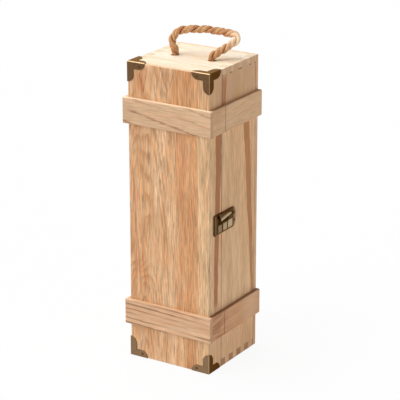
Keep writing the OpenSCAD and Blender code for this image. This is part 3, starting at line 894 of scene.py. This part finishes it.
boards["pine_left"] = ["case_left_side", "lid_left_rail"], dict(
    **SIDE, seed=9.2, seams=(saw_cut(1.0, 0.55),), swirls=((12, 140, 12, 20, 7),),
    staves=(dict(pith=(-14, -40), year=3.4, rise=0.08, contrast=0.42, flame=0.45),))
boards["pine_top"] = ["top_board", "lid_top_rail"], dict(
    **END, seed=3.4, seams=(saw_cut(0.8, 0.3),), rough_cut=0.7, gap=357.0,
    end=0.85, end_paint=(202, 162, 122),
    # The top board is painted much paler than the other pine: painted sheen on the top
    # face.
    staves=(dict(pith=(10, 300), year=4.0, lean=0.02, contrast=0.3, flame=0.3,
                 pale=(244, 233, 213), mid=(243, 225, 198), dark=(216, 180, 138),
                 blush=(236, 206, 168)),))
boards["pine_bottom"] = ["bottom_board", "lid_bottom_rail"], dict(
    **END, seed=5.9, seams=(saw_cut(0.9, 0.5),), end=0.74, end_paint=(156, 104, 64),
    staves=(dict(pith=(-14, -50), year=3.0, rise=0.05),))
print("boards so far:", len(boards))

# %% [markdown]
# A batten's rings are wide and its late wood is thin, so it shows only a few lines.
# Each one at the sides was sawn in two with the lid.

# %% Battens
# The ledge paints here are a painted highlight on the top of each front batten.
boards["pine_batten_front_upper"] = ["batten_front_upper"], dict(
    **FRONT_BATTEN, seed=2.2, ledge=((252, 232, 200), 0.85),
    staves=(dict(pith=(196, 40), year=10.5, lean=-0.17, contrast=0.75, flame=0.3,
                 onset=0.72, pale=(211, 176, 141), mid=(201, 165, 130),
                 dark=(142, 92, 60), blush=(208, 158, 120)),))
boards["pine_batten_front_lower"] = ["batten_front_lower"], dict(
    **FRONT_BATTEN, seed=8.8, ledge=((232, 196, 156), 0.7),
    staves=(dict(pith=(-62, 10), year=5.2, lean=-0.02, contrast=0.8, flame=0.4,
                 onset=0.5, pale=(214, 176, 141), mid=(204, 163, 128),
                 dark=(132, 82, 48), blush=(198, 146, 106)),))
SIDE_BATTENS = {
    # The ledge paints here are painted shade on the top of the right battens.
    "batten_right_upper": dict(
        seed=6.3, ledge=((120, 82, 52), 0.6), seams=(saw_cut(0.9, 0.3),),
        staves=(dict(pith=(250, 20), year=8.0, lean=0.1, contrast=0.4, flame=0.3,
                     onset=0.7, pale=(216, 178, 138), mid=(205, 165, 126),
                     dark=(164, 116, 80), blush=(198, 148, 108)),),
        blots=((307, -44, 60, 18, (184, 142, 100), 0.6),)),
    "batten_right_lower": dict(
        seed=0.6, ledge=((104, 68, 42), 0.75), seams=(saw_cut(0.9, 0.4),),
        staves=(dict(pith=(-20, 20), year=7.4, lean=0.05, contrast=0.42, flame=0.4,
                     onset=0.5, pale=(208, 157, 114), mid=(198, 145, 101),
                     dark=(146, 96, 62), blush=(184, 124, 84)),),
        patches=((57, 34, 60, 22, (222, 182, 144), 0.55),),
        blots=((57, -44, 60, 20, (160, 104, 68), 0.85),)),
    "batten_left_upper": dict(
        seed=5.1, seams=(saw_cut(0.9, 0.5),),
        staves=(dict(pith=(200, -30), year=6.0, lean=0.08, onset=0.6),)),
    "batten_left_lower": dict(
        seed=3.9, seams=(saw_cut(0.9, 0.5),),
        staves=(dict(pith=(-10, -30), year=5.4, lean=-0.06, onset=0.55),)),
}
for batten, look in SIDE_BATTENS.items():
    boards[f"pine_{batten}"] = [f"{batten}_case", f"{batten}_lid"], {
        **SIDE_BATTEN, **look}
print("finishes for boards:", len(boards))

# %% [markdown]
# Now each finish is made, and goes onto the board and onto the rail that was sawn off.

# %% Dress the boards


def dress(member, *materials):
    """Gives a solid, or the piece that replaces it, its finish."""
    slots = pieces[member].data.materials
    slots.clear()
    for material in materials:
        slots.append(material)


for name, (members, look) in boards.items():
    finish = pine(name, **look)
    for member in members:
        dress(member, finish)
print("boards:", sum(len(members) for members, _ in boards.values()))

# %% [markdown]
# ## Antique bronze
# The brackets and the latch are pressed from thin steel with a darkened bronze plating.
# The plating is almost black-brown where it is sheltered, and handling rubs it lighter
# where it sticks out. So the finish mixes a dark and a light colour by a mask that each
# part brings, and the light colour serves both worn metal and painted highlights. Faces
# turned to +X get a darker copy of the dark colour, as painted shade, and a second mask
# paints shade where a shadow falls, under the latch's hood.

# %% Bronze
CLOUDS, GRAINS, PITS = 260.0, 2600.0, 900.0
CLOUD_WEAR, PITTED = (0.30, 0.75), (0.62, 0.74)
SIDE_SHADE = 0.92, 0.87, 0.76
PIT_PAINT, HOOD_SHADOW_PAINT = (50, 36, 24), (48, 32, 17)
TURNED = 0.5, 0.9


class Metal(Finish):
    """A finish that knows where its point is, in millimetres, and how it is turned."""

    def __init__(self, name):
        super().__init__(name)
        self.spot = self.place()
        self.x, self.y, self.z = (part * (1 / MM) for part in self.split(self.spot))
        self.normal = self.facing()


def bronze(name, dark, rubbed_and_lit, rough=0.46, seed=0.0, wear_and_light=None, painted_shade=None):
    """The two paints are the dark metal and a light one, which serves both worn metal and
    painted highlights. The first mask gives the light paint's share, 0 to 1, from worn
    metal and painted light, and the second the share of painted shade."""
    m = Metal(name)
    cloud = m.noise(m.spot + (seed, 0, 0), CLOUDS, 4.0, 0.6)
    grain = m.noise(m.spot, GRAINS, 2.0, 0.6)
    pits = m.smooth(m.noise(m.spot + (0, seed, 0), PITS, 1.0), *PITTED)
    share = m.smooth(cloud, *CLOUD_WEAR) * 0.04
    # The part's mask adds worn metal and painted highlights.
    if wear_and_light:
        share = share + wear_and_light(m)
    share = m.math("MULTIPLY", share, 1.0, clamp=True)
    # Faces turned to +X get a darker copy of the dark paint: painted shade.
    side = m.smooth(m.normal["x"], *TURNED)
    shaded = srgb(*(c * shade for c, shade in zip(dark, SIDE_SHADE)))
    colour = m.mix(share, m.mix(side, srgb(*dark), shaded), srgb(*rubbed_and_lit))
    # Painted shadow from the second mask, under the latch's hood.
    if painted_shade:
        colour = m.mix(painted_shade(m), colour, srgb(*HOOD_SHADOW_PAINT))
    colour = m.mix(pits * 0.35, colour, srgb(*PIT_PAINT))
    height = cloud * 0.5 + grain * 0.3 - pits * 0.3
    return m.surface(Base_Color=colour * ((grain - 0.5) * 0.3 + 1.0), Metallic=1.0,
                     Specular_IOR_Level=0.2, Specular_Tint=srgb(*rubbed_and_lit),
                     Roughness=(cloud - 0.5) * 0.22 + rough,
                     Normal=m.bump(height, 0.05 * MM, 0.4))


print("bronze ready")

# %% [markdown]
# ## Where the metal is worn, lit and shaded
# A bracket is rubbed along its folds and has a painted highlight there, and its top and
# front flanges are painted lighter, the front more on the low brackets. The latch is
# rubbed on its raised pads and on its rolled edge, has a painted highlight on its hood's
# lip, and painted shade in the hollow under the hood. Each pair of numbers is the range
# over which a mask rises: in millimetres out of the wall, up from the latch's middle, or
# along y.

# %% Wear masks
WALL_X, WALL_Y = 55.0, -54.0
FOLD_NEAR = -0.35, 0.35
LOW_Z = 117.5
LATCH_FACING = 0.75, 0.97
PAD_FOOT, PAD_HEAD, LIP_OUT, BEAD_OUT = (1.2, 1.45), (1.9, 2.2), (4.2, 5.2), (2.5, 3.1)
BEAD_END, FIRST_PAD_END, SECOND_PAD_END = (-43.5, -42.5), (-28.4, -26.8), (-16.2, -14.4)
MARGIN = -4.0, 0.0
HOLLOW_FOOT, HOLLOW_HEAD, HOLLOW_OUT = (-3.4, -0.8), (4.5, 6.5), (2.4, 3.2)
HOLLOW_START, HOLLOW_END = (-38.0, -35.0), (-16.0, -12.0)


def bracket_wear_and_light(m):
    """Worn and with a painted highlight along a bracket's folds; its top and front flanges
    are painted lighter, the front more on the low brackets, and its side flanges stay dark.
    """
    at_side = m.smooth(abs(m.x) - WALL_X, *FOLD_NEAR)
    at_front = m.smooth(WALL_Y - m.y, *FOLD_NEAR)
    at_end = m.smooth(abs(m.z - MIDDLE_Z) - MIDDLE_Z, *FOLD_NEAR)
    front = m.smooth(-m.normal["y"], *TURNED)
    top = m.smooth(m.normal["z"], *TURNED)
    low = 1 - m.smooth(m.z, LOW_Z, MIDDLE_Z)
    # Folds: worn, with a painted highlight. Top and front flanges: painted lighter.
    return top * 0.22 + at_front * at_end * 0.95 + at_side * at_front * 0.3 \
        + front * (low * 0.20 + 0.05)


def latch_wear_and_highlight(m):
    """Lighter where the latch stands out from the wood, on faces turned outward: worn on
    its pads, margin and rolled edge, with a painted highlight on the hood's lower edge. Its
    hollows stay dark.
    """
    out = m.x - WALL_X
    facing = m.smooth(m.normal["x"], *LATCH_FACING)
    pads = m.smooth(out, *PAD_FOOT) * (1 - m.smooth(out, *PAD_HEAD))
    # Painted highlight on the hood's lower edge.
    lip_highlight = m.smooth(out, *LIP_OUT)
    bead = m.smooth(out, *BEAD_OUT) * (1 - m.smooth(m.y, *BEAD_END))
    first = 1 - m.smooth(m.y, *FIRST_PAD_END)
    second = 1 - m.smooth(m.y, *SECOND_PAD_END)
    margin = m.smooth(m.y, *MARGIN) * 0.34 + 0.06
    return facing * (pads * (0.80 - first * 0.30 - second * 0.14) + lip_highlight * 0.9 + margin) \
        + bead * 0.14


def painted_hood_shadow(m):
    """Painted shadow in the hollow under the hood, between its lower edge and the pads."""
    rise = m.z - MIDDLE_Z
    low = m.smooth(rise, *HOLLOW_FOOT) * (1 - m.smooth(rise, *HOLLOW_HEAD))
    deep = 1 - m.smooth(m.x - WALL_X, *HOLLOW_OUT)
    along = m.smooth(m.y, *HOLLOW_START) * (1 - m.smooth(m.y, *HOLLOW_END))
    return low * deep * along * 0.8


print("wear masks ready")

# %% [markdown]
# ## Metal on its parts
# Each metal part has two slots: its own finish, and a brighter one for its fine edges,
# which the Bevel modifier puts on the narrow faces that it makes.

# %% Metal finishes
DARK_BRONZE, RUBBED_AND_LIT_BRONZE = (95, 68, 44), (206, 175, 138)
bracket_bronze = bronze("bracket_bronze", DARK_BRONZE, RUBBED_AND_LIT_BRONZE, wear_and_light=bracket_wear_and_light)
latch_bronze = bronze("latch_bronze", (86, 59, 35), (198, 177, 146), wear_and_light=latch_wear_and_highlight,
                      painted_shade=painted_hood_shadow)
hinge_bronze = bronze("hinge_bronze", DARK_BRONZE, RUBBED_AND_LIT_BRONZE, seed=2.0)
edge_bronze = bronze("edge_bronze", (134, 100, 66), (204, 168, 126), 0.4, 3.0)
nail_bronze = bronze("nail_bronze", (84, 58, 36), (150, 116, 80), 0.42, 6.0)

PLATES = {
    bracket_bronze: ["bracket_top_left", "bracket_top_right", "bracket_bottom_left",
                     "bracket_bottom_right"],
    latch_bronze: ["latch_lid_plate", "latch_case_plate", "latch_hood"],
    hinge_bronze: ["hinge_upper_case_leaf", "hinge_lower_case_leaf",
                   "hinge_upper_lid_leaf", "hinge_lower_lid_leaf"],
}
NAILS = ["bracket_nails", "hinge_upper_pin", "hinge_lower_pin", "hinge_case_screws",
         "hinge_lid_screws", "latch_keeper", "latch_lid_nails", "latch_case_nails",
         "latch_rivet"]
for finish, members in {**PLATES, nail_bronze: NAILS}.items():
    for member in members:
        dress(member, finish, edge_bronze)
print("metal parts:", sum(len(members) for members in PLATES.values()) + len(NAILS))

# %% [markdown]
# ## Rope fibre
# Each strand is spun from yarns that twist the other way, so thin diagonal grooves run
# round it, painted darker as painted shade. The valleys between the strands are painted
# darker, as painted shade and dust, and the crowns are bleached, with a painted highlight
# on their fuzz: the mesh's "outward" number tells them apart. The rope is painted darker
# where it leaves the wood, as painted shade, and palest at the fold.

# %% Rope
YARNS = 7
YARN_LAY_M = 14 * MM
HAIR_TURNS, HAIR_RATE = 6, 260
# Valley, yarn and foot paints are painted shade, the fuzz paint a painted highlight.
VALLEY_SHADE_AND_DUST_PAINT, CROWN_PAINT, FUZZ_HIGHLIGHT_PAINT = (136, 84, 46), (200, 144, 96), (240, 203, 156)
YARN_GROOVE_SHADE_PAINT, CLOUD_PAINT = (148, 98, 58), (186, 114, 72)
FOOT_SHADE_PAINT, FOLD_PALE_PAINT = (134, 84, 48), (252, 225, 190)
FOOT_SHADE_Z = 0.3660, 0.3790
FOLD_PALE_REACH = 11 * MM


def rope_finish(name, fold=-1.0):
    """fold is the place of the fold along the rope, where the colour is palest."""
    f = Finish(name)
    outward = f.node("ShaderNodeAttribute", {"attribute_name": "outward"}, out=2)
    round_it, along, _ = f.split(f.node("ShaderNodeUVMap", {"uv_map": "strand"}))
    spot = f.place()
    twist = round_it * YARNS + along / YARN_LAY_M * YARNS / 2
    turns = twist + f.noise(spot, 420.0) * 0.5
    yarn = f.math("SINE", turns * (2 * math.pi)) * 0.5 + 0.5
    hair = f.noise(f.join(twist * HAIR_TURNS, along * HAIR_RATE, 0.0), 1.0, 3.0, 0.7)
    cloud = f.noise(spot, 130.0, 2.0)
    # Valleys: painted shade and dust. Crowns: their own paler tone.
    colour = f.mix(f.smooth(outward, 0.2, 0.9), srgb(*VALLEY_SHADE_AND_DUST_PAINT), srgb(*CROWN_PAINT))
    # A painted highlight on the fuzz of the crowns.
    fuzz_highlight = f.smooth(outward, 0.72, 1.0) * f.smooth(hair, 0.35, 0.65)
    colour = f.mix(fuzz_highlight * 0.7, colour, srgb(*FUZZ_HIGHLIGHT_PAINT))
    # Painted shade in the grooves between the yarns.
    colour = f.mix((1 - yarn) * 0.36, colour, srgb(*YARN_GROOVE_SHADE_PAINT))
    colour = f.mix(f.smooth(cloud, 0.42, 0.66) * 0.5, colour, srgb(*CLOUD_PAINT))
    # Painted shade where the rope leaves the wood.
    foot_shade = 1 - f.smooth(f.split(spot)[2], *FOOT_SHADE_Z)
    colour = f.mix(foot_shade * 0.45, colour, srgb(*FOOT_SHADE_PAINT))
    # Paler at the fold.
    away = (along - fold) * (1 / FOLD_PALE_REACH)
    fold_pale = f.math("EXPONENT", -(away * away)) * f.smooth(outward, 0.3, 0.9)
    colour = f.mix(fold_pale * 0.80, colour, srgb(*FOLD_PALE_PAINT))
    return f.surface(Base_Color=colour * ((hair - 0.5) * 0.4 + 1.0), Roughness=0.86,
                     Specular_IOR_Level=0.25,
                     Normal=f.bump(yarn * 0.6 + hair * 0.6, 0.35 * MM, 0.8))


rope.data.materials.append(rope_finish("twisted_rope", FOLD_M))
knot_fibre = rope_finish("twisted_rope_knots")
for knot in knots:
    knot.data.materials.append(knot_fibre)
print("rope dressed")

# %% [markdown]
# ## Soft edges
# No real edge is perfectly sharp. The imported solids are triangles, so each is first
# welded, its flat faces are merged, and then a Bevel modifier rounds what is left. On
# metal the new narrow faces take the second slot, which holds the brighter finish.

# %% Bevels
WELD_M = 1e-6
FLAT_DEGREES, SHARP_DEGREES = 0.5, 32
WOOD_EDGE, METAL_EDGE = 0.22 * MM, 0.16 * MM
EDGE_STEPS = 2
SAME_SLOT, EDGE_SLOT = -1, 1


def modify(piece, name, kind, **settings):
    """Adds a modifier with its settings."""
    modifier = piece.modifiers.new(name, kind)
    for key, value in settings.items():
        setattr(modifier, key, value)


def soften(piece, width, slot):
    """Rounds a piece's sharp edges."""
    modify(piece, "weld", "WELD", merge_threshold=WELD_M)
    modify(piece, "flat", "DECIMATE", decimate_type="DISSOLVE",
           angle_limit=math.radians(FLAT_DEGREES))
    modify(piece, "bevel", "BEVEL", width=width, segments=EDGE_STEPS,
           limit_method="ANGLE", angle_limit=math.radians(SHARP_DEGREES),
           material=slot, use_clamp_overlap=True)


for members, _ in boards.values():
    for member in members:
        soften(pieces[member], WOOD_EDGE, SAME_SLOT)
for members in PLATES.values():
    for member in members:
        soften(pieces[member], METAL_EDGE, EDGE_SLOT)
print("softened:", sum(1 for piece in pieces.values() if piece.modifiers.get("bevel")))

# %% [markdown]
# ## Floor and background
# The photograph is a cut-out on white with a soft shadow under the box. So where the
# floor is seen, most of its colour is a flat white glow, and it meets the background
# without an edge. Seen means by the camera, in a mirror or through glass: those three
# kinds of ray get the same floor and the same white room, so metal reflects what the
# camera sees. For all other rays the floor glows less, and the room is dim.

# %% Floor and world
FLOOR_M = 14.0
FLOOR_Z = -0.1 * MM
GLOW_ALWAYS, GLOW_SEEN = 0.5, 0.42
WHITE, ROOM_COLOUR, ROOM_STRENGTH = (1.0, 1.0, 1.0), (0.97, 0.98, 1.0), 0.27


def seen(graph):
    """1 for camera, glossy and transmission rays, and 0 for all others."""
    path = graph.node("ShaderNodeLightPath").socket.node
    total = Signal(graph, path.outputs["Is Camera Ray"])
    for ray in ("Is Glossy Ray", "Is Transmission Ray"):
        total = graph.math("ADD", total, Signal(graph, path.outputs[ray]), clamp=True)
    return total


floor_mesh = bpy.data.meshes.new("floor")
corners = [(-1, -1), (1, -1), (1, 1), (-1, 1)]
floor_mesh.from_pydata(
    [(x * FLOOR_M, y * FLOOR_M, FLOOR_Z) for x, y in corners], [], [(0, 1, 2, 3)])
floor = add_object("floor", floor_mesh)

paper = Finish("white_floor")
paper.surface(Base_Color=(0.8, 0.8, 0.8), Roughness=0.9, Specular_IOR_Level=0.1)
glow = paper.node("ShaderNodeEmission", None, {"Color": WHITE, "Strength": 1.0})
sheet = paper.mix_shaders(seen(paper) * GLOW_SEEN + GLOW_ALWAYS, paper.shader, glow)
paper.feed(paper.end.inputs[0], sheet)
floor.data.materials.append(paper.material)

world = bpy.data.worlds.new("studio")
bpy.context.scene.world = world
studio = Graph(world)
white = studio.node("ShaderNodeBackground", None, {0: WHITE, 1: 1.0})
room = studio.node("ShaderNodeBackground", None, {0: ROOM_COLOUR, 1: ROOM_STRENGTH})
studio.node("ShaderNodeOutputWorld", None,
            {0: studio.mix_shaders(seen(studio), room, white)})
print("floor and world ready")

# %% [markdown]
# ## Lamps
# Three lamps stand far away. The broad top lamp gives most of the light, the key stands
# at the front left, and the fill keeps the right side from going dark. Each line gives
# the way from the box to the lamp, its strength, and its width in degrees.

# %% Lamps
LAMPS = {
    "key": ((-0.42, -0.80, 0.43), 0.85, 45),
    "top": ((-0.46, -0.14, 0.88), 2.8, 75),
    "fill": ((0.94, -0.30, 0.14), 0.66, 50),
}
for name, (way, strength, degrees) in LAMPS.items():
    lamp = bpy.data.lights.new(name, "SUN")
    lamp.energy, lamp.angle = strength, math.radians(degrees)
    sun = add_object(name, lamp)
    sun.rotation_mode = "QUATERNION"
    sun.rotation_quaternion = Vector(way).to_track_quat("Z", "Y")

bpy.context.scene.view_settings.view_transform = "Standard"
print("lamps:", list(LAMPS))
